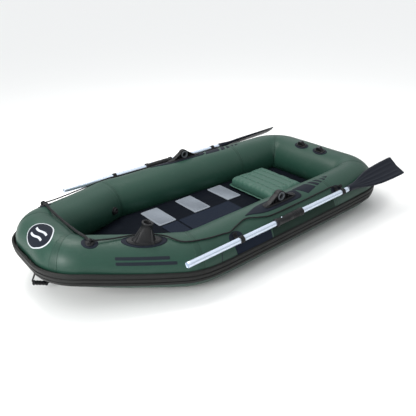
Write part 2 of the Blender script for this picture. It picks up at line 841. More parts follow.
# A laid rope: a lobed section that turns as it runs
def makeRopeTree():
    graph = newTree("laid_rope", Radius=("Float", 0.004), Strands=("Int", 3), Twist=("Float", 45.0),
                    Groove=("Float", 0.16), Sides=("Int", 21), Step=("Float", 0.004))
    given = graph.given
    path = graph.add("GeometryNodeMeshToCurve", None, {"Mesh": given.out("Geometry")})
    even = graph.add(
        "GeometryNodeResampleCurve", {"mode": "LENGTH"}, {"Curve": path, "Length": given.out("Step")}
    )
    run = graph.add("GeometryNodeSplineParameter", None, None, "Length")
    tilted = graph.add(
        "GeometryNodeSetCurveTilt", None, {"Curve": even, "Tilt": run * given.out("Twist")}
    )
    ring = graph.add(
        "GeometryNodeCurvePrimitiveCircle", None, {"Resolution": given.out("Sides"), "Radius": 1.0}
    )
    place = graph.add("GeometryNodeInputPosition")
    parts = graph.add("ShaderNodeSeparateXYZ", None, {0: place})
    angle = graph.add(
        "ShaderNodeMath", {"operation": "ARCTAN2"}, {0: parts.out("Y"), 1: parts.out("X")}
    )
    lobe = (angle * given.out("Strands") / 2).math("COSINE").math("ABSOLUTE")
    size = ((lobe - 1) * given.out("Groove") + 1) * given.out("Radius")
    spread = graph.add("ShaderNodeVectorMath", {"operation": "SCALE"}, {0: place, "Scale": size})
    section = graph.add("GeometryNodeSetPosition", None, {"Geometry": ring, "Position": spread})
    tube = graph.add(
        "GeometryNodeCurveToMesh", None, {"Curve": tilted, "Profile Curve": section, "Fill Caps": True}
    )
    return endTree(graph, tube)


# Short stitches lying along a path
def makeStitchTree():
    graph = newTree(
        "stitches", Spacing=("Float", 0.005), Length=("Float", 0.0032), Thickness=("Float", 0.0005)
    )
    given = graph.given
    path = graph.add("GeometryNodeMeshToCurve", None, {"Mesh": given.out("Geometry")})
    even = graph.add(
        "GeometryNodeResampleCurve", {"mode": "LENGTH"}, {"Curve": path, "Length": given.out("Spacing")}
    )
    tangent = graph.add("GeometryNodeInputTangent")
    turn = graph.add("FunctionNodeAlignRotationToVector", {"axis": "Z"}, {"Vector": tangent})
    thread = graph.add("GeometryNodeMeshCylinder", None, {
        "Vertices": 6, "Side Segments": 1,
        "Radius": given.out("Thickness"), "Depth": given.out("Length")}, "Mesh")
    return endTree(graph, graph.add("GeometryNodeInstanceOnPoints", None, {
        "Points": even, "Instance": thread, "Rotation": turn}))


# One part repeated in a straight row
def makeRowTree():
    graph = newTree(
        "part_row", Part=("Object", None), Count=("Int", 5), Start=("Vector", None),
        Offset=("Vector", None),
    )
    given = graph.given
    line = graph.add("GeometryNodeMeshLine", {"mode": "OFFSET"}, {
        "Count": given.out("Count"), "Start Location": given.out("Start"), "Offset": given.out("Offset")})
    part = graph.add("GeometryNodeObjectInfo", None, {"Object": given.out("Part")}, "Geometry")
    return endTree(
        graph, graph.add("GeometryNodeInstanceOnPoints", None, {"Points": line, "Instance": part})
    )


sweepTree = makeSweepTree()
ropeTree = makeRopeTree()
stitchTree = makeStitchTree()
rowTree = makeRowTree()


def rope(name, points, radius, material=None, body="hull", twist=None, step=0.004, sides=18):
    settings = {"Radius": radius, "Twist": twist or 0.24 / radius, "Step": step, "Sides": sides}
    return grown(name, pathMesh(points), ropeTree, settings, material or ropeFibre, body)


def stitches(name, points, body="hull", spacing=0.0052, length=0.0034, thickness=0.0005, closed=False):
    settings = {"Spacing": spacing, "Length": length, "Thickness": thickness}
    return grown(name, pathMesh(points, closed), stitchTree, settings, threadFibre, body)


def row(name, part, count, start, offset, material, body="hull"):
    base = pathMesh([(0, 0, 0), (0, 0, 0.001)])
    settings = {"Part": part, "Count": count, "Start": tuple(start), "Offset": tuple(offset)}
    piece = grown(name, base, rowTree, settings, material, body)
    bpy.data.objects.remove(part)
    return piece


def smoothPath(points, steps=8):  # a Catmull-Rom line through the points
    points = [np.array(p, float) for p in points]
    padded = [2 * points[0] - points[1], *points, 2 * points[-1] - points[-2]]
    line = []
    for i in range(1, len(padded) - 2):
        a, b, c, d = padded[i - 1:i + 3]
        for k in range(steps):
            t = k / steps
            line.append(
                0.5 * (
                    2 * b + (c - a) * t + (2 * a - 5 * b + 4 * c - d) * t ** 2 + (
                        3 * b - a - 3 * c + d
                    ) * t ** 3
                )
            )
    line.append(points[-1])
    return np.array(line)


# The tube ring, one piece for each welded length

tubeLook = {
    "sides": 84,
    "step": 0.009,
    "seamDip": 0.0014,
    "seamWidth": 0.020,
    "puckerDepth": 0.0046,
    "puckerPitch": 0.036,
    "puckerReach": 0.085,
    "waver": 0.0010,
}
tape = {"halfWidth": 0.0125, "thickness": 0.0009}
allSeams = [*portSeams, *((wholeLoop - s, turn) for s, turn in portSeams)]


def swell(s, degrees):  # how far the fabric stands off a true round tube
    s, degrees = np.broadcast_arrays(np.asarray(s, float), np.asarray(degrees, float))
    inner = np.exp(-(((degrees - 180 + 180) % 360 - 180) / 62) ** 2)
    upper = np.exp(-(((degrees - 150 + 180) % 360 - 180) / 40) ** 2)
    total = tubeLook["waver"] * np.sin(np.radians(degrees) * 3 + 7.1 * s) * np.sin(
        11 * s + np.radians(degrees)
    )
    for seam, turn in allSeams:
        away = (s - seam + wholeLoop / 2) % wholeLoop - wholeLoop / 2
        total = total - tubeLook["seamDip"] * np.exp(-(away / tubeLook["seamWidth"]) ** 2)
        fade = np.exp(-(away / tubeLook["puckerReach"]) ** 2) * min(1.0, turn / 1.0)
        phase = 2 * math.pi * away / tubeLook["puckerPitch"] + 1.4 * np.sin(
            np.radians(degrees) * 2 + seam * 5
        )
        total = total - tubeLook["puckerDepth"] * fade * inner * (0.5 + 0.5 * np.cos(phase)) * (
            0.55 + 0.45 * upper
        )
    return total


def skinAt(s, degrees, lift=0.0):
    return tubeAt(s, degrees, lift + swell(s, degrees))


def buildTubes():
    port = [s for s, _ in portSeams]
    spans = {
        "bow_tube": (-port[0], port[0]),
        "bow_quarter_tube_port": (port[0], port[1]),
        "side_tube_port": (port[1], port[2]),
        "stern_quarter_tube_port": (port[2], port[3]),
        "stern_tube": (port[3], wholeLoop - port[3]),
        "stern_quarter_tube_starboard": (wholeLoop - port[3], wholeLoop - port[2]),
        "side_tube_starboard": (wholeLoop - port[2], wholeLoop - port[1]),
        "bow_quarter_tube_starboard": (wholeLoop - port[1], wholeLoop - port[0]),
    }
    degrees = np.linspace(0, 360, tubeLook["sides"], endpoint=False)
    for node, (start, end) in spans.items():
        count = max(6, round((end - start) / tubeLook["step"]))
        run = np.linspace(start + 0.00015, end - 0.00015, count)
        rings = np.stack([skinAt(np.full(len(degrees), s), degrees) for s in run])
        piece = loft("hull_" + node, rings, greenFabric)
        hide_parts(node)


def buildSeamTapes():
    w, t = tape["halfWidth"], tape["thickness"]
    section = [
        (-w, -0.0008), (-w, 0.0003), (-w + 0.0012, t), (-w / 2, t), (0, t), (w / 2, t), (w - 0.0012, t),
        (w, 0.0003), (w, -0.0008), (0, -0.0012),
    ]
    degrees = np.linspace(0, 360, tubeLook["sides"] * 2, endpoint=False)
    for number, (seam, _) in enumerate(allSeams):
        rings = np.stack(
            [np.stack([skinAt(seam + ds, a, lift) for ds, lift in section]) for a in degrees]
        )
        loft(f"seam_tape_{number + 1}", rings, tapeFabric, closed=True)


buildTubes()
buildSeamTapes()
print("tube ring made")


# Rub strake: a ribbed band swept right round the outside

strake = {"top": 4.0, "bottom": -25.3, "thickness": 0.0036, "rib": 0.0052, "ribs": 3}


def strakeProfile():
    base, low = hullLine["tubeRadius"], hullLine["tubeRadius"] + strake["thickness"]
    corners = [(strake["top"], base - 0.002), (strake["top"], low)]
    span = (strake["bottom"] - strake["top"]) / strake["ribs"]
    for i in range(strake["ribs"]):
        start = strake["top"] + i * span
        corners += [(start + 0.13 * span, low), (start + 0.17 * span, low + strake["rib"]),
                    (start + 0.83 * span, low + strake["rib"]), (start + 0.87 * span, low)]
    corners += [(strake["bottom"], low), (strake["bottom"], base - 0.002)]
    flat = [(r * math.cos(math.radians(a)), -r * math.sin(math.radians(a))) for a, r in corners]
    soft = rounded(flat, 0.0016, 3, closed=True)
    return [(x, y, 0) for x, y in soft]


def buildStrake():
    rows = loopRows[:-1]
    points = np.column_stack(
        [rows[:, 0], rows[:, 1], hullLine["axisHeight"] + hullLine["bowLift"] * rise(rows[:, 0])]
    )
    girth = 1 - hullLine["bowSlimmer"] / hullLine["tubeRadius"] * rise(rows[:, 0])
    profile = pathMesh(strakeProfile(), closed=True)
    piece = grown(
        "rub_strake_band", pathMesh(points, True, girth), sweepTree, {"Profile": profile}, strakeRubber
    )
    bpy.data.objects.remove(profile)
    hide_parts("rub_strake")


buildStrake()


# Bottom sheet, air floor, boards and panels

floorLook = {
    "sheetReach": 0.028,
    "sheetFront": 0.999,
    "sheetRise": 0.009,
    "matTop": 0.098,
    "matFront": 0.915,
    "matAft": -0.868,
    "chamber": 0.088,
    "groove": 0.0030,
    "keelDrop": 0.005,
    "boardHeight": 0.006,
    "panelHeight": 0.003,
}


def keelAt(x):
    lift = hullLine["bowLift"] + hullLine["bowSlimmer"]
    return np.maximum(0, lift * rise(x) - floorLook["keelDrop"])


def planLine(reach, low, high):  # the hull line moved outwards by reach, cut off fore and aft
    rows = loopRows[:-1:2]
    size = np.hypot(rows[:, 2], rows[:, 3])
    far = reach(rows[:, 0]) if callable(reach) else reach
    x = rows[:, 0] + rows[:, 3] / size * far
    y = rows[:, 1] - rows[:, 2] / size * far
    points = np.column_stack([np.clip(x, low, high), y])
    step = np.linalg.norm(points - np.roll(points, 1, 0), axis=1)
    return points[step > 1e-4]


def lifted(points, z):
    return np.column_stack([points[:, 0], points[:, 1], z])


def splitFaces(piece, material):  # the second material goes on every face that looks down
    piece.data.materials.append(material)
    for polygon in piece.data.polygons:
        if polygon.normal.z < 0.1:
            polygon.material_index = 1


def buildBottom():
    front = floorLook["sheetFront"]
    outline = planLine(floorLook["sheetReach"], -2, front)

    def curl(points):  # the front edge turns up to the bow tube
        return floorLook["sheetRise"] * np.clip((points[:, 0] - front + 0.07) / 0.07, 0, 1) ** 2

    def top(points, distance):
        return lifted(points, keelAt(points[:, 0]) + 0.0048 + curl(points))

    def under(points, distance):
        ridges = 0.0012 * (0.5 + 0.5 * np.cos(points[:, 1] * 2 * math.pi / 0.11)) ** 6
        edge = 0.0015 * (1 - np.clip(distance / 0.006, 0, 1))
        return lifted(points, keelAt(points[:, 0]) + 0.0014 - ridges + edge + curl(points))

    piece = plate("bottom_sheet", outline, top, under, matFabric, step=0.016)
    splitFaces(piece, bottomFabric)
    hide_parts("hull_bottom_sheet")


def insideTube(x):  # how far inwards of its axis the tube's skin is at floor height
    up = rise(x)
    radius = hullLine["tubeRadius"] - hullLine["bowSlimmer"] * up
    drop = hullLine["axisHeight"] + hullLine["bowLift"] * up - np.maximum(
        floorLook["matTop"] - 0.02, keelAt(x) + 0.01
    )
    return -np.sqrt(np.maximum(radius ** 2 - drop ** 2, 0.03 ** 2)) - 0.003


def buildMat():
    outline = planLine(insideTube, floorLook["matAft"], floorLook["matFront"])

    def top(points, distance):
        x, y = points[:, 0], points[:, 1]
        wave = np.abs(np.cos(math.pi * y / floorLook["chamber"])) ** 8
        cross = np.exp(-((x - 0.47) / 0.012) ** 2) + np.exp(-((x + 0.79) / 0.012) ** 2)
        height = np.maximum(floorLook["matTop"] - 0.0004, keelAt(x) + 0.022)
        side = 0.016 * (1 - np.sqrt(np.clip(1 - (1 - np.clip(distance / 0.03, 0, 1)) ** 2, 0, 1)))
        return lifted(points, height - floorLook["groove"] * np.maximum(wave, cross) - side)

    def under(points, distance):
        return lifted(points, keelAt(points[:, 0]) + 0.0052)

    piece = plate(
        "air_floor", outline, top, under, matFabric, step=0.011, edge=(0.004, 0.010, 0.020),
        edgeStep=0.012,
    )
    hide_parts("floor_mat")


def rectangle(x0, y0, x1, y1, radius):
    return rounded([(x0, y0), (x1, y0), (x1, y1), (x0, y1)], radius, 4, closed=True)


def floorPlate(name, node, height, material, groovePitch=0.0, frameLine=0.0):
    low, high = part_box(node)
    base = floorLook["matTop"] + 0.0003

    def top(points, distance):
        roll = 0.0018 * (1 - np.sqrt(np.clip(1 - (1 - np.clip(distance / 0.002, 0, 1)) ** 2, 0, 1)))
        line = frameLine * np.exp(-((distance - 0.012) / 0.002) ** 2)
        bend = 0.0006 * np.sin(points[:, 0] * 19 + points[:, 1] * 13)
        return lifted(points, base + height - 0.0007 - roll - line + bend)

    def under(points, distance):
        return lifted(points, np.full(len(points), base))

    outline = rectangle(low.x, low.y, high.x, high.y, 0.009)
    edges = (0.0004, 0.001, 0.002) if not frameLine else (0.0005, 0.002, 0.009, 0.012, 0.015)
    piece = plate(name, outline, top, under, material, step=0.014, edge=edges)
    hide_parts(node)
    if groovePitch:
        rib = boxPiece("rib", (high.x - low.x - 0.018, 0.0022, 0.0010), Matrix(), None, None, 0.0004, 2)
        count = int((high.y - low.y - 0.016) / groovePitch)
        start = (
            (low.x + high.x) / 2,
            (low.y + high.y) / 2 - (count - 1) * groovePitch / 2,
            base + height - 0.0003,
        )
        row(name + "_grip_ribs", rib, count, start, (0, groovePitch, 0), material)


buildBottom()
buildMat()
for number in (1, 2, 3):
    floorPlate(
        f"grip_board_{number}", f"floor_board_{number}", floorLook["boardHeight"], boardFabric,
        0.0078,
    )
for number in (1, 2):
    floorPlate(
        f"floor_skin_port_{number}", f"floor_panel_port_{number}", floorLook["panelHeight"],
        panelFabric, 0, 0.0012,
    )
print("floor made")


# Inflated seat: simulated as a tight cushion, then its welded cross channels pressed in

seat = {
    "shrink": 0.007,
    "cell": 0.006,
    "frames": 20,
    "pressure": 4.0,
    "cap": 0.009,
    "channels": 5,
    "channelDepth": 0.0095,
    "channelWidth": 0.0052,
    "crown": 0.007,
}


def inflated(piece):
    settings = piece.modifiers.new("cell", "REMESH")
    settings.mode = "VOXEL"
    settings.voxel_size = seat["cell"]
    bpy.context.view_layer.update()
    mesh = bpy.data.meshes.new_from_object(piece.evaluated_get(bpy.context.evaluated_depsgraph_get()))
    piece.modifiers.clear()
    piece.data = mesh
    before = np.array([v.co for v in mesh.vertices])
    cloth = piece.modifiers.new("air", "CLOTH")
    cloth.settings.quality = 6
    cloth.settings.mass = 0.35
    cloth.settings.tension_stiffness = 22
    cloth.settings.compression_stiffness = 22
    cloth.settings.bending_stiffness = 0.6
    cloth.settings.use_pressure = True
    cloth.settings.uniform_pressure_force = seat["pressure"]
    cloth.settings.effector_weights.gravity = 0
    for number in range(1, seat["frames"] + 1):
        scene.frame_set(number)
    shape = piece.evaluated_get(bpy.context.evaluated_depsgraph_get())
    after = np.array([v.co for v in shape.data.vertices])
    piece.modifiers.clear()
    scene.frame_set(1)
    move = after - before
    far = np.linalg.norm(move, axis=1)
    move *= np.minimum(1, seat["cap"] / np.maximum(far, 1e-9))[:, None]
    mesh.vertices.foreach_set("co", (before + move).ravel())


def buildSeat():
    low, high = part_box("seat_cushion")
    small = seat["shrink"]
    size = (high.x - low.x - 2 * small, high.y - low.y - 2 * small, high.z - low.z - small * 1.2)
    middle = Matrix.Translation(
        ((low.x + high.x) / 2, (low.y + high.y) / 2, low.z + size[2] / 2 + 0.004)
    )
    piece = boxPiece("seat_air_cushion", size, middle, None, None, 0.024, 5)
    inflated(piece)
    piece = withModifier(piece, "SUBSURF", levels=1, render_levels=1)
    points = np.array([v.co for v in piece.data.vertices])
    x, y, z = points.T
    halfY = (high.y - low.y) / 2
    up = np.clip((z - low.z - 0.030) / 0.030, 0, 1)
    inside = np.clip((halfY - 0.030 - np.abs(y - (low.y + high.y) / 2)) / 0.022, 0, 1)
    span = (x - low.x - 0.020) / (high.x - low.x - 0.040) * seat["channels"]
    off = np.abs(span - np.round(span)) * (high.x - low.x - 0.040) / seat["channels"]
    weld = np.exp(-(off / seat["channelWidth"]) ** 2) * (np.round(span) > 0) * (
        np.round(span) < seat["channels"]
    )
    pucker = 0.0012 * np.sin(y * 150 + np.round(span) * 2.1) * np.exp(-(off / 0.018) ** 2)
    z = z - up * inside * (seat["channelDepth"] * weld + pucker)
    z = z + up * seat["crown"] * (1 - ((y - (low.y + high.y) / 2) / halfY) ** 2) * 0.5
    z = np.clip(z, low.z + 0.0002, high.z + 0.008)
    piece.data.vertices.foreach_set("co", np.column_stack([x, y, z]).ravel())
    piece.data.polygons.foreach_set("use_smooth", [True] * len(piece.data.polygons))
    piece.data.materials.clear()
    piece.data.materials.append(seatFabric)
    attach(piece, "seat")
    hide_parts("seat_cushion")
    return low, high


def buildSeatWeld(low, high):  # the flat welded margin low round the seat
    corner, count, inwards = 0.03, 160, 0.10
    outer = rectangle(low.x + 0.001, low.y + 0.001, high.x - 0.001, high.y - 0.001, corner)
    closed = np.vstack([outer, outer[:1]])
    lengths = np.append(0, np.cumsum(np.linalg.norm(np.diff(closed, axis=0), axis=1)))
    places = np.linspace(0, lengths[-1], count, endpoint=False)
    outer = np.column_stack([np.interp(places, lengths, closed[:, k]) for k in (0, 1)])
    middle = np.array(((low.x + high.x) / 2, (low.y + high.y) / 2))
    inner = outer + (middle - outer) * inwards
    level = low.z + 0.016
    rings = []
    for a, b in zip(outer, inner):
        wave = 0.0010 * math.sin(a[0] * 90) * math.cos(a[1] * 80)
        rings.append(
            [
                (*a, level + wave), (*b, level + 0.0012), (*b, level - 0.0012),
                (*a, level - 0.0016 + wave),
            ]
        )
    piece = loft("seat_weld_margin", rings, seatFabric, "seat", closed=True)


buildSeatWeld(*buildSeat())
print("seat made")


# Oars: two halves of tube in a rubber coupling, ribbed blade

oar = {
    "offset": 0.158, "height": 0.252, "tubeRadius": 0.016, "bore": 0.014,
    "sleeveRadius": 0.0205, "collarRadius": 0.0240, "sleeveBore": 0.0166,
    "sleeve": (-0.014, -0.228), "shaftEnd": -0.655, "tip": -1.165, "handleEnd": 0.595,
    "bladeTilt": 34.0, "shift": {"port": 0.0, "starboard": 0.075},
    "widths": [
        (0, 0.020, 0.020), (0.06, 0.0205, 0.019), (0.14, 0.024, 0.015), (0.22, 0.033, 0.0105),
        (0.32, 0.047, 0.0080), (0.42, 0.058, 0.0066), (0.55, 0.0665, 0.0056), (0.75, 0.072, 0.0048),
        (0.93, 0.0735, 0.0044), (0.985, 0.0725, 0.0040), (1.0, 0.0690, 0.0026),
    ],
    "bladeRib": 0.0034,
}


def oarPlace(side, sign):
    s = stationOf(-0.060, sign)
    axis, skin = tubeAt(s, 90), tubeAt(s, 0)
    out = Vector((skin[0] - axis[0], skin[1] - axis[1], 0)).normalized()
    along = Vector((-out.y * sign, out.x * sign, 0)) * -1
    if along.x < 0:
        along.negate()
    origin = Vector((axis[0], axis[1], 0)) + out * oar["offset"]
    origin.z = oar["height"]
    origin += along * ((oar["shift"][side] + 0.060) / along.x)
    up = Vector((0, 0, 1))
    return Matrix.Translation(origin) @ Matrix((along, up.cross(along), up)).transposed().to_4x4()


lengthwise = Matrix.Rotation(math.pi / 2, 4, "Y")  # turns a lathe's Z onto the oar's X


def bladeRings(sign):
    length = oar["shaftEnd"] - oar["tip"]
    plan = np.array(oar["widths"])
    along = np.concatenate([np.linspace(0, 0.97, 60), [0.985, 0.993, 1.0]])
    across = np.linspace(-1, 1, 33)
    tilt = math.radians(-oar["bladeTilt"] * sign)
    rings = []
    for f in along:
        w, h = np.interp(f, plan[:, 0], plan[:, 1]), np.interp(f, plan[:, 0], plan[:, 2])
        round_ = np.sqrt(np.maximum(1 - across ** 2, 0))
        flatness = min(1.0, f / 0.35)
        body = h * (round_ * (1 - flatness) + flatness * np.maximum(1 - np.abs(across) ** 10, 0) ** 0.5)
        fade = np.clip((f - 0.16) / 0.16, 0, 1) * np.clip((0.97 - f) / 0.05, 0, 1)
        centre = np.exp(-(across / 0.10) ** 2) * (1 - f) * 2.2
        sides = np.exp(-((np.abs(across) - 0.42) / 0.055) ** 2) + np.exp(
            -((np.abs(across) - 0.80) / 0.045) ** 2
        )
        ribs = oar["bladeRib"] * fade * np.minimum(centre + sides, 1.3)
        dish = 0.009 * f * across ** 2 + 0.006 * f * f
        upper = np.stack([across * w, body + ribs * 0.9 + dish], -1)
        lower = np.stack([across[::-1] * w, -body[::-1] - ribs[::-1] * 0.6 + dish[::-1]], -1)[1:-1]
        ring = np.vstack([upper, lower])
        x = oar["shaftEnd"] - 0.0003 - f * length
        tilted = ring @ np.array(((math.cos(tilt), math.sin(tilt)), (-math.sin(tilt), math.cos(tilt))))
        rings.append(np.column_stack([np.full(len(ring), x), tilted]))
    return np.array(rings)


def buildOar(side, sign):
    place = oarPlace(side, sign)
    a, b = oar["sleeve"]
    middle = (a + b) / 2
    r, bore = oar["tubeRadius"], oar["bore"]

    def pipe(name, x0, x1, body):
        edge = 0.0007
        profile = [
            (bore, x0 + edge), (bore + edge, x0), (r - edge, x0), (r, x0 + edge), (r, x0 + 0.02),
            (r, x1 - 0.02), (r, x1 - edge), (r - edge, x1), (bore + edge, x1), (bore, x1 - edge),
        ]
        piece = turned(name, profile, place @ lengthwise, shaftMetal, body, 48, ring=True)
        return piece

    handleBody, bladeBody = f"oar_{side}_handle", f"oar_{side}_blade"
    handle = pipe(f"oar_{side}_hand_tube", middle + 0.002, oar["handleEnd"], handleBody)
    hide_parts(f"oar_{side}_handle_shaft")
    shaft = pipe(f"oar_{side}_blade_tube", oar["shaftEnd"] + 0.0003, middle - 0.002, bladeBody)
    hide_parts(f"oar_{side}_blade_shaft")
    c, s, inner = oar["collarRadius"], oar["sleeveRadius"], oar["sleeveBore"]
    profile = [
        (inner, b), (c - 0.002, b), (c, b + 0.002), (c, b + 0.018), (c - 0.0015, b + 0.021),
        (s, b + 0.028), (s, b + 0.090), (s + 0.0008, b + 0.092), (s + 0.0008, a - 0.092),
        (s, a - 0.090), (s, a - 0.028), (c - 0.0015, a - 0.021), (c, a - 0.018), (c, a - 0.002),
        (c - 0.002, a), (inner, a),
    ]
    sleeve = turned(
        f"oar_{side}_coupling", profile, place @ lengthwise, fittingRubber, handleBody, 48, ring=True
    )
    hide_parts(f"oar_{side}_coupling_sleeve")
    hoop = turned(
        "hoop",
        [
            (s - 0.001, -0.0016), (s + 0.0009, -0.0013), (s + 0.0014, 0), (s + 0.0009, 0.0013),
            (s - 0.001, 0.0016),
        ],
        place.to_3x3().to_4x4() @ lengthwise,
        None,
        None,
        40,
        ring=True,
    )
    start = place @ Vector((b + 0.036, 0, 0))
    step = place.to_3x3() @ Vector((0.0085, 0, 0))
    row(f"oar_{side}_coupling_hoops", hoop, 6, start, step, fittingRubber, handleBody)
    button = turned(
        f"oar_{side}_spring_button",
        [(0.0001, -0.004), (0.0042, -0.004), (0.0042, 0.0012), (0.0034, 0.0022), (0.0001, 0.0026)],
        place @ Matrix.Translation((a - 0.050, 0, s)),
        shaftMetal,
        handleBody,
        24,
    )
    rings = bladeRings(sign)
    flat = rings.reshape(-1, 3) @ np.array(place.to_3x3()).T + np.array(place.translation)
    blade = loft(f"oar_{side}_ribbed_blade", flat.reshape(rings.shape), bladePlastic, bladeBody)
    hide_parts(f"oar_{side}_blade")
    return place


oarPlaces = {"port": buildOar("port", 1), "starboard": buildOar("starboard", -1)}
print("oars made")


# Oar keepers: an oval pad, a webbing band round the shaft and its two sewn feet

keeper = {
    "degrees": 40, "pad": (
        0.046, 0.036
    ), "width": 0.026, "thickness": 0.0026, "loop": 0.0185, "footReach": 0.031,
    "x": {"port": (0.232, -0.602), "starboard": (0.300, -0.520)},
}


def thickLine(points, thickness):  # a flat ribbon's outline from its middle line
    points = np.asarray(points, float)
    along = np.gradient(points, axis=0)
    normal = np.stack([-along[:, 1], along[:, 0]], -1) / np.linalg.norm(along, axis=1)[:, None]
    return np.vstack([points + normal * thickness / 2, (points - normal * thickness / 2)[::-1]])


def buildKeeper(name, side, sign, x):
    spot = sideSpot(x, sign, keeper["degrees"])
    pad = skin(f"{name}_glued_pad", spot, ellipsePoints(*keeper["pad"]), 0.0026, padFabric)
    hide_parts(f"{name}_pad")
    place = oarPlaces[side]
    along = (place.to_3x3() @ Vector((1, 0, 0))).normalized()
    origin = place.translation
    centre = origin + along * ((x - origin.x) / along.x)
    toTube = spot.at - centre
    toTube -= along * toTube.dot(along)
    down = toTube.normalized()
    across = along.cross(down).normalized()
    reach = toTube.length
    flat = Matrix.Translation(centre) @ Matrix((across, along, down)).transposed().to_4x4()
    r, foot, t = keeper["loop"], keeper["footReach"], keeper["thickness"]
    sink = lambda u: reach - 0.0036 + u * u / 0.29
    half = [(u, sink(u)) for u in np.linspace(foot, 0.010, 7)] + [
        (0.0062, reach - 0.0075), (0.0042, reach - 0.014)
    ]
    turnIn = math.acos(0.0042 / r)
    loop = [(r * math.cos(a), r * math.sin(a)) for a in np.linspace(turnIn, -math.pi - turnIn, 38)]
    line = np.array(half + loop + [(-u, v) for u, v in half[::-1]])
    strap = slab(
        f"{name}_webbing", thickLine(line, t), keeper["width"], flat, strapWebbing, bevel=0.0006
    )
    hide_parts(f"{name}_strap")
    rows = []
    for sideways in (-1, 1):
        for edge in (-1, 1):
            v = edge * (keeper["width"] / 2 - 0.003)
            rows.append(
                [
                    flat @ Vector((sideways * u, v, sink(u) - t / 2 - 0.0003))
                    for u in np.linspace(0.012, foot - 0.002, 6)
                ]
            )
        rows.append(
            [
                flat @ Vector((sideways * (foot - 0.003), v, sink(foot - 0.003) - t / 2 - 0.0003))
                for v in (-0.010, 0, 0.010)
            ]
        )
        rows.append(
            [
                flat @ Vector((sideways * 0.012, v, sink(0.012) - t / 2 - 0.0003))
                for v in (-0.010, 0, 0.010)
            ]
        )
    sewn = joined(
        f"{name}_stitching", [stitches(f"{name}_row_{i}", line) for i, line in enumerate(rows)]
    )


# Oarlocks: leaf-shaped pad, moulded arch with a thin web, and the liner of its hole

oarlock = {
    "x": -0.178, "degrees": 78, "length": 0.236, "height": 0.062,
    "width": 0.034, "web": 0.011, "strap": 0.0062,
    "hole": 0.0205, "liner": 0.017, "flange": 0.0255, "nose": 0.152, "tail": 0.046, "halfWidth": 0.042,
}


def buildOarlock(side, sign):
    o = oarlock
    spot = sideSpot(o["x"], sign, o["degrees"])
    half = o["length"] / 2
    leaf = [
        (half + o["nose"], 0.001), (half + o["nose"] * 0.72, 0.013), (half + 0.055, 0.032),
        (half + 0.012, o["halfWidth"] - 0.003), (half - 0.03, o["halfWidth"]),
        (-half - o["tail"] + 0.02, o["halfWidth"]), (-half - o["tail"], o["halfWidth"] - 0.012),
    ]
    outline = rounded(leaf + [(x, -y) for x, y in leaf[::-1]], 0.02, 5, closed=True)
    pad = skin(f"oarlock_{side}_leaf_pad", spot, outline, 0.0028, padFabric)
    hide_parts(f"oarlock_{side}_pad")
    upright = spot.matrix(upright=True)
    crown = o["height"] - o["hole"] - 0.008
    ring = o["hole"] + 0.0085
    arc = [(ring * math.sin(a), crown + ring * math.cos(a)) for a in np.linspace(-1.02, 1.02, 25)]
    leg = [(-half, 0.004), (-half + 0.016, 0.0055), (-half + 0.030, 0.0098)]
    path = rounded([*leg, *arc, *[(-x, z) for x, z in leg[::-1]]], 0.010, 4)
    strap = slab(
        "rim",
        thickLine(resampled(path, 0.004, False), o["strap"]),
        o["width"],
        upright,
        fittingRubber,
        bevel=0.0018,
    )
    inner = [p for p in path if abs(p[0]) < half - 0.012]
    web = [(-half + 0.012, -0.012), *inner, (half - 0.012, -0.012)]
    body = slab("web", web, o["web"], upright, fittingRubber, bevel=0.001)
    boss = turned(
        "boss",
        [
            (o["hole"], -o["width"] / 2), (ring - 0.001, -o["width"] / 2),
            (ring, -o["width"] / 2 + 0.001), (ring, o["width"] / 2 - 0.001),
            (ring - 0.001, o["width"] / 2), (o["hole"], o["width"] / 2),
        ],
        upright @ Matrix.Translation((0, 0, crown)) @ Matrix.Rotation(math.pi / 2, 4, "X"),
        fittingRubber,
        ring=True,
    )
    foot = [
        (half + 0.010, 0), (half + 0.004, 0.019), (half - 0.03, 0.0235), (-half + 0.03, 0.0235),
        (-half - 0.004, 0.019), (-half - 0.010, 0),
    ]
    flange = skin(
        "flange",
        spot,
        rounded(foot + [(x, -y) for x, y in foot[1:-1][::-1]], 0.012, 4, closed=True),
        0.0062,
        fittingRubber,
        lift=0.0026,
        roll=0.0035,
    )
    ribs = []
    for place in (-0.062, -0.040, 0.040, 0.062):
        top = float(np.interp(place, path[:, 0], path[:, 1])) - 0.002
        for face in (-1, 1):
            ribs.append(
                boxPiece(
                    "rib",
                    (0.0042, 0.010, top + 0.002),
                    upright @ Matrix.Translation((place, face * 0.0095, (top - 0.002) / 2)),
                    fittingRubber,
                    bevel=0.0008,
                    segments=2,
                )
            )
    arch = joined(f"oarlock_{side}_moulding", [strap, body, boss, flange, *ribs])
    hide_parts(f"oarlock_{side}_arch")
    w, lip = o["width"] / 2, o["liner"]
    bush = turned(
        f"oarlock_{side}_bush",
        [
            (lip, -w - 0.0035), (lip + 0.001, -w - 0.0045), (o["flange"] - 0.001, -w - 0.0045),
            (o["flange"], -w - 0.0035), (o["flange"], -w - 0.0004), (o["hole"] - 0.0008, -w - 0.0004),
            (o["hole"] - 0.0008, w + 0.0004), (o["flange"], w + 0.0004), (o["flange"], w + 0.0035),
            (o["flange"] - 0.001, w + 0.0045), (lip + 0.001, w + 0.0045), (lip, w + 0.0035),
        ],
        upright @ Matrix.Translation((0, 0, crown)) @ Matrix.Rotation(math.pi / 2, 4, "X"),
        linerPlastic,
        ring=True,
    )
    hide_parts(f"oarlock_{side}_liner")


# Rope eyes, stern lugs, rod holder, valve and bow handle

bowEye = {"x": 0.900, "degrees": 72, "pad": 0.042, "height": 0.026}


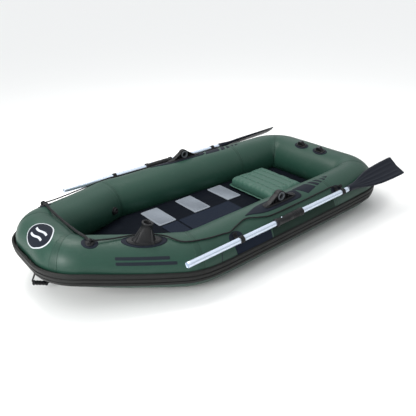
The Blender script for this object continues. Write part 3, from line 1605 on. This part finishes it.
def knot(name, centre, normal, size, radius, body="hull"):  # a tight overhand lump
    normal = Vector(normal).normalized()
    side = normal.orthogonal().normalized()
    other = normal.cross(side)
    points = []
    for t in np.linspace(0, 2 * math.pi, 72):
        spread = size * (0.62 + 0.38 * math.cos(3 * t))
        height = size * 0.42 * math.sin(3 * t)
        points.append(
            Vector(centre) + side * spread * math.cos(2 * t) + other * spread * math.sin(
                2 * t
            ) + normal * height
        )
    return rope(name, points, radius, None, body, step=0.003, sides=15)


def buildBowEye(side, sign):
    spot = sideSpot(bowEye["x"], sign, bowEye["degrees"])
    pad = skin(
        f"bow_eye_{side}_glued_pad",
        spot,
        ellipsePoints(bowEye["pad"], bowEye["pad"] - 0.007),
        0.0027,
        padFabric,
    )
    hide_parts(f"bow_eye_{side}_pad")
    place = spot.matrix()
    base = turned(
        "base",
        [
            (0.0002, -0.006), (0.024, -0.006), (0.024, 0.0055), (0.0225, 0.0075), (0.013, 0.010),
            (0.0002, 0.0105),
        ],
        place,
        fittingRubber,
    )
    angles = np.linspace(-0.35, math.pi + 0.35, 22)
    hoop, across = 0.0125, Vector((1, 0, 0))
    rings = []
    for a in angles:
        middle = Vector((0, hoop * math.cos(a), 0.0115 + hoop * math.sin(a)))
        radial = Vector((0, math.cos(a), math.sin(a)))
        rings.append(
            [
                tuple(place @ (middle + across * 0.0085 * math.cos(b) + radial * 0.0040 * math.sin(b)))
                for b in np.linspace(0, 2 * math.pi, 16, endpoint=False)
            ]
        )
    eye = loft("eye", rings, fittingRubber)
    lug = joined(f"bow_eye_{side}_moulding", [base, eye])
    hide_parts(f"bow_eye_{side}_lug")


sternLug = {
    "y": 0.087, "degrees": 108, "pad": (0.060, 0.034), "length": 0.062, "height": 0.036, "width": 0.024
}


def buildSternLug(side, sign):
    spot = sternSpot(sternLug["y"] * sign, sternLug["degrees"])
    pad = skin(f"stern_lug_{side}_glued_pad", spot, ellipsePoints(*sternLug["pad"]), 0.0027, padFabric)
    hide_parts(f"stern_lug_{side}_pad")
    half, height = sternLug["length"] / 2, sternLug["height"]
    outline = rounded(
        [
            (-half, -0.006), (half, -0.006), (half, 0.008), (0.0135, height), (-0.0135, height),
            (-half, 0.008),
        ],
        0.006,
        4,
        closed=True,
    )
    wedge = slab("wedge", outline, sternLug["width"], spot.matrix(), fittingRubber, bevel=0.0022)
    foot = skin(
        "foot",
        spot,
        rounded(
            [(-0.042, -0.019), (0.042, -0.019), (0.042, 0.019), (-0.042, 0.019)], 0.015, 5, closed=True
        ),
        0.0058,
        fittingRubber,
        lift=0.0026,
        roll=0.003,
    )
    cap = turned(
        "cap",
        [
            (0.0002, height - 0.004), (0.0085, height - 0.004), (0.0085, height + 0.0012),
            (0.0070, height + 0.0022), (0.0045, height + 0.0016), (0.0045, height - 0.002),
            (0.0002, height - 0.002),
        ],
        spot.matrix(),
        linerPlastic,
        sides=28,
    )
    lug = joined(f"stern_lug_{side}_moulding", [wedge, foot, cap])
    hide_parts(f"stern_lug_{side}")


rodHolder = {
    "x": 0.662, "degrees": 77, "pad": (
        0.116, 0.047
    ), "height": 0.104, "tilt": 15, "bore": 0.0205, "depth": 0.078,
    "walls": [
        (-0.016, 0.066, 0.034), (0.004, 0.064, 0.033), (0.009, 0.060, 0.031), (0.020, 0.053, 0.029),
        (0.040, 0.043, 0.0275), (0.062, 0.0335, 0.0265), (0.074, 0.0285, 0.0262),
        (0.094, 0.0270, 0.0262), (0.0955, 0.0290, 0.0285), (0.0975, 0.0300, 0.0296),
        (0.1025, 0.0300, 0.0296), (0.104, 0.0288, 0.0284),
    ],
}


def buildRodHolder():
    r = rodHolder
    spot = sideSpot(r["x"], 1, r["degrees"])
    pad = skin("rod_holder_glued_pad", spot, ellipsePoints(*r["pad"], 80), 0.0030, padFabric)
    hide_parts("rod_holder_pad")
    place = spot.matrix(upright=True) @ Matrix.Rotation(math.radians(-r["tilt"]), 4, "Y")
    angles = np.linspace(0, 2 * math.pi, 56, endpoint=False)
    rings = [[(a * math.cos(t), b * math.sin(t), z) for t in angles] for z, a, b in r["walls"]]
    mouth, floorZ = r["bore"], r["height"] - r["depth"]
    for radius, z in (
        (mouth + 0.0015, 0.104), (mouth, 0.1025), (mouth, floorZ + 0.002), (mouth - 0.003, floorZ),
        (0.0002, floorZ),
    ):
        rings.append([(radius * math.cos(t), radius * math.sin(t), z) for t in angles])
    flat = np.array(rings).reshape(-1, 3) @ np.array(place.to_3x3()).T + np.array(place.translation)
    cone = loft("cone", flat.reshape(-1, len(angles), 3), fittingRubber)
    foot = skin(
        "foot", spot, ellipsePoints(0.090, 0.0365, 70), 0.0066, fittingRubber, lift=0.0028, roll=0.004
    )
    gussets = []
    for turn, reach in (
        (0.62, 0.060), (-0.62, 0.060), (math.pi - 0.62, 0.060), (math.pi + 0.62, 0.060)
    ):
        fin = [(0.020, -0.012), (reach, -0.012), (reach - 0.004, 0.008), (0.030, 0.074), (0.020, 0.074)]
        gussets.append(
            slab(
                "fin",
                fin,
                0.0055,
                place @ Matrix.Rotation(turn * 0.72 if abs(turn) < 1 else turn, 4, "Z"),
                fittingRubber,
                bevel=0.0014,
            )
        )
    moulding = joined("rod_holder_moulding", [cone, foot, *gussets])
    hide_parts("rod_holder_socket")


valve = {"x": 0.552, "degrees": 180, "base": 0.026, "cap": 0.019, "grips": 20}


def buildValve():
    place = sideSpot(valve["x"], -1, valve["degrees"]).matrix()
    b, c = valve["base"], valve["cap"]
    base = turned(
        "inflation_valve_seat",
        [
            (0.0002, -0.008), (b, -0.008), (b, 0.0014), (b - 0.001, 0.0028), (b - 0.003, 0.0034),
            (c + 0.0012, 0.0050), (0.0002, 0.0050),
        ],
        place,
        fittingRubber,
        sides=48,
    )
    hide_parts("valve_base")
    cap = turned(
        "cap",
        [
            (0.0002, 0.0053), (c, 0.0053), (c, 0.0120), (c - 0.0012, 0.0140), (c - 0.0035, 0.0150),
            (c - 0.006, 0.0140), (0.0002, 0.0140),
        ],
        place,
        fittingRubber,
        "valve_cap",
        sides=48,
    )
    bar = boxPiece(
        "bar", (c * 1.5, 0.0055, 0.0075), place @ Matrix.Translation((0, 0, 0.0165)), fittingRubber,
        "valve_cap", 0.0018,
    )
    grips = []
    for i in range(valve["grips"]):
        turn = Matrix.Rotation(2 * math.pi * i / valve["grips"], 4, "Z")
        grips.append(
            boxPiece(
                "grip",
                (0.0014, 0.0022, 0.006),
                place @ turn @ Matrix.Translation((c, 0, 0.0088)),
                fittingRubber,
                "valve_cap",
                0.0004,
                1,
            )
        )
    whole = joined("inflation_valve_cap", [cap, bar, *grips])
    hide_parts("valve_cap")


bowHandle = {
    "front": -48, "aft": -80, "drop": 0.082, "root": 0.0125, "grip": 0.013, "width": 0.014,
    "thickness": 0.0034,
}


def buildHandle():
    h = bowHandle
    front, aft = bowSpot(0, h["front"]), bowSpot(0, h["aft"])
    middleSpot = bowSpot(0, (h["front"] + h["aft"]) / 2)
    outline = rounded(
        [(-0.034, -0.056), (0.034, -0.056), (0.034, 0.056), (-0.034, 0.056)], 0.014, 5, closed=True
    )
    pad = skin("handle_glued_pad", middleSpot, outline, 0.0027, padFabric)
    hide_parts("handle_pad")
    fore = (front.at - aft.at).normalized()
    sideways = Vector((0, 1, 0))
    away = fore.cross(sideways)
    if away.z > 0:
        away.negate()
    length = (front.at - aft.at).length
    middle = (front.at + aft.at) / 2
    bulge = front.radius - math.sqrt(front.radius ** 2 - (length / 2) ** 2)
    place = Matrix.Translation(middle) @ Matrix((fore, away.cross(fore), away)).transposed().to_4x4()
    half, deep = length / 2 + 0.008, bulge + h["drop"]
    line = rounded(
        [
            (-half + 0.001, h["root"]), (-half - 0.004, deep), (half + 0.004, deep),
            (half - 0.001, h["root"]),
        ],
        0.012,
        6,
    )
    strap = slab(
        "loop",
        thickLine(resampled(line, 0.004, False), h["thickness"]),
        h["width"],
        place,
        strapWebbing,
        "bow_handle",
        0.0008,
    )
    rows = []
    for edge in (-1, 1):
        v = edge * (h["width"] / 2 - 0.003)
        for end in (-1, 1):
            rows.append(
                [
                    place @ Vector((end * (half + 0.0035), v, z))
                    for z in np.linspace(0.016, deep - 0.018, 5)
                ]
            )
    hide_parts("handle_strap")
    strap.name = "bow_handle_webbing"
    sewn = joined(
        "bow_handle_stitching", [stitches(f"row_{i}", r, "bow_handle") for i, r in enumerate(rows)]
    )
    g, end = h["grip"], half - 0.004
    profile = [
        (0.0085, -end), (g - 0.001, -end), (g + 0.0008, -end + 0.0015), (g + 0.0008, -end + 0.006),
        (g - 0.0012, -end + 0.009),
    ]
    for z in np.linspace(-end + 0.012, end - 0.012, 33):
        profile.append((g - 0.0012 + 0.0010 * math.cos(z * 2 * math.pi / 0.018), z))
    profile += [
        (g - 0.0012, end - 0.009), (g + 0.0008, end - 0.006), (g + 0.0008, end - 0.0015),
        (g - 0.001, end), (0.0085, end),
    ]
    grip = turned(
        "bow_handle_grip",
        profile,
        place @ Matrix.Translation((0, 0, deep)) @ lengthwise,
        fittingRubber,
        "bow_handle",
        40,
        ring=True,
    )
    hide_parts("handle_grip")


for side, sign in (("port", 1), ("starboard", -1)):
    for place, x in zip(("forward", "aft"), keeper["x"][side]):
        buildKeeper(f"keeper_{side}_{place}", side, sign, x)
    buildOarlock(side, sign)
    buildBowEye(side, sign)
    buildSternLug(side, sign)
buildRodHolder()
buildValve()
buildHandle()
print("fittings made")


# Printed marks and the dark side panel, all plain shapes

marks = {
    "panel": [(0.263, 27), (0.250, -5), (-0.010, -5), (-0.004, 27)],
    "band": [(-0.018, 26), (-0.018, -4), (-0.560, -4), (-0.545, 26)],
    "wing": [(-0.336, 97), (-0.392, 63), (-0.487, 72), (-0.457, 99)],
    "bars": [
        [(-0.474, 99), (-0.503, 73), (-0.532, 76), (-0.507, 98)],
        [(-0.524, 98), (-0.548, 77), (-0.572, 79), (-0.551, 97)],
        [(-0.568, 97), (-0.587, 80), (-0.604, 82), (-0.588, 96)],
        [(-0.606, 96), (-0.618, 84), (-0.640, 88), (-0.636, 91)],
    ],
    "badge": {"y": 0.048, "degrees": 62, "across": 0.078, "along": 0.100, "edge": 0.006},
    "plain": [
        [(0.800, 39), (0.800, 32), (0.560, 32), (0.560, 39)],
        [(0.800, 28), (0.800, 21), (0.530, 21), (0.530, 28)],
    ],
    "trim": [(0.352, 38), (0.352, 30), (0.366, -2), (0.362, -2), (0.346, 30), (0.346, 38)],
}


# corners are (x, degrees)
def printed(name, side, corners, material, radius=0.005, thickness=0.0005, lift=0.0003):
    middle = np.mean(np.array(corners, float), axis=0)
    spot = sideSpot(middle[0], side, middle[1])
    points = [
        ((stationOf(x, side) - spot.s) * -side, math.radians(middle[1] - degrees) * spot.radius * side)
        for x, degrees in corners
    ]
    turn = area2(np.array(points))
    points = points if turn > 0 else points[::-1]
    return skin(
        name, spot, rounded(points, radius, 4, closed=True), thickness, material, lift=lift, step=0.01,
        roll=0.0006,
    )


def buildMarks(name, side):
    printed(f"side_panel_{name}", side, marks["panel"], panelFabric, 0.008, 0.0011)
    printed(f"side_band_{name}", side, marks["band"], darkFabric, 0.010)
    printed(f"wing_print_{name}", side, marks["wing"], padFabric, 0.004)
    for i, bar in enumerate(marks["bars"]):
        printed(f"bar_print_{name}_{i + 1}", side, bar, padFabric, 0.002)
    printed(f"side_trim_{name}", side, marks["trim"], printInk, 0.0015)
    for i, bar in enumerate(marks["plain"]):
        printed(f"plain_bar_{name}_{i + 1}", side, bar, printInk, 0.006)


def buildBadge():
    b = marks["badge"]
    spot = bowSpot(b["y"], b["degrees"])
    shapes = [("rim", 0, whiteInk), ("field", b["edge"], padFabric)]
    for i, (name, cut, material) in enumerate(shapes):
        outline = ellipsePoints(b["along"] - cut, b["across"] - cut, 72)
        skin(
                f"badge_{name}", spot, outline, 0.0004, material, lift=0.0003 + i * 0.0004, step=0.009,
                roll=0.0006,
            )
    for i, (offset, half) in enumerate(((-0.018, 0.060), (0.018, 0.060))):
        wave = [(u, offset + 0.0055 * math.sin(u * 46)) for u in np.linspace(-half, half, 40)]
        outline = [(u, v - 0.006) for u, v in wave] + [(u, v + 0.006) for u, v in wave[::-1]]
        skin(
                f"badge_wave_{i + 1}", spot, outline, 0.0004, whiteInk, lift=0.0011, step=0.009,
                roll=0.0006,
            )


for side, sign in (("port", 1), ("starboard", -1)):
    buildMarks(side, sign)
buildBadge()
print("printed marks made")


# Grab lines: held all the way, so each is one whole rope along its real route

lines = {
    "radius": 0.0042,
    "bowRadius": 0.0074,
    "port": [
        (0.874, 78, 0.016), (0.812, 80, 0.010), (0.755, 87, 0.0095), (0.715, 92, 0.010),
        (0.662, 94, 0.0105), (0.610, 92, 0.010), (0.560, 84, 0.0095), (0.490, 67, 0.006),
        (0.400, 62, 0.006), (0.300, 58, 0.006), (0.255, 55, 0.010), (0.190, 62, 0.007),
        (0.110, 68, 0.007), (0.030, 58, 0.007), (-0.060, 51, 0.006), (-0.300, 51, 0.006),
        (-0.480, 52, 0.007), (-0.570, 52, 0.010), (-0.640, 45, 0.010),
    ],
    "starboard": [
        (0.874, 78, 0.016), (0.800, 70, 0.010), (0.600, 64, 0.006), (0.400, 62, 0.006),
        (0.330, 57, 0.008), (0.300, 50, 0.011), (0.230, 58, 0.007), (0.140, 60, 0.006),
        (-0.060, 51, 0.006), (-0.300, 51, 0.006), (-0.440, 53, 0.007), (-0.490, 53, 0.010),
        (-0.560, 46, 0.010),
    ],
}


def buildLines():
    ends = []
    for side, sign in (("starboard", -1), ("port", 1)):
        spot = sideSpot(bowEye["x"], sign, bowEye["degrees"])
        ends.append((spot.at + spot.out * 0.021, spot.out, sign))
        points = [
            sideSpot(x, sign, degrees).at + sideSpot(x, sign, degrees).out * lift
            for x, degrees, lift in lines[side]
        ]
        points[0] = spot.at + spot.out * 0.016
        piece = rope(f"side_line_{side}", smoothPath(points, 6), lines["radius"])
        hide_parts(f"grab_line_{side}")
        for name, centre in (("eye", points[0] + spot.out * 0.004), ("stern", points[-1])):
            knot(f"side_line_{side}_{name}_knot", centre, spot.out, 0.0098, 0.0036)
    a, b = ends[0][0], ends[1][0]
    level = [a + Vector((0, 0.010, -0.006)), a + Vector((0, 0.05, 0.001))]
    level += [
        a.lerp(b, t) - Vector((0, 0, 0.016 * math.sin(math.pi * t))) + Vector((0, 0, 0.002))
        for t in np.linspace(0.2, 0.8, 7)
    ]
    level += [b + Vector((0, -0.05, 0.001)), b + Vector((0, -0.010, -0.006))]
    piece = rope("bow_line", smoothPath(level, 6), lines["bowRadius"], twist=26.0, sides=24)
    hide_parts("grab_line_bow")


buildLines()
print("grab lines made")


floor = newPiece(
    "studio_floor",
    [(-60, -60, -0.0005), (60, -60, -0.0005), (60, 60, -0.0005), (-60, 60, -0.0005)],
    [(0, 1, 2, 3)],
    None,
    None,
)
floorMaterial, floorGraph = newMaterial("pale_floor")
mottle = noise(floorGraph, 3.0, 2.0)
finishMaterial(
    floorGraph,
    floorGraph.mix(mottle, tint(light["floorColour"], 0.995), tint(light["floorColour"], 1.0)),
    0.8,
    mottle,
    0.0001,
)
floor.data.materials.append(floorMaterial)
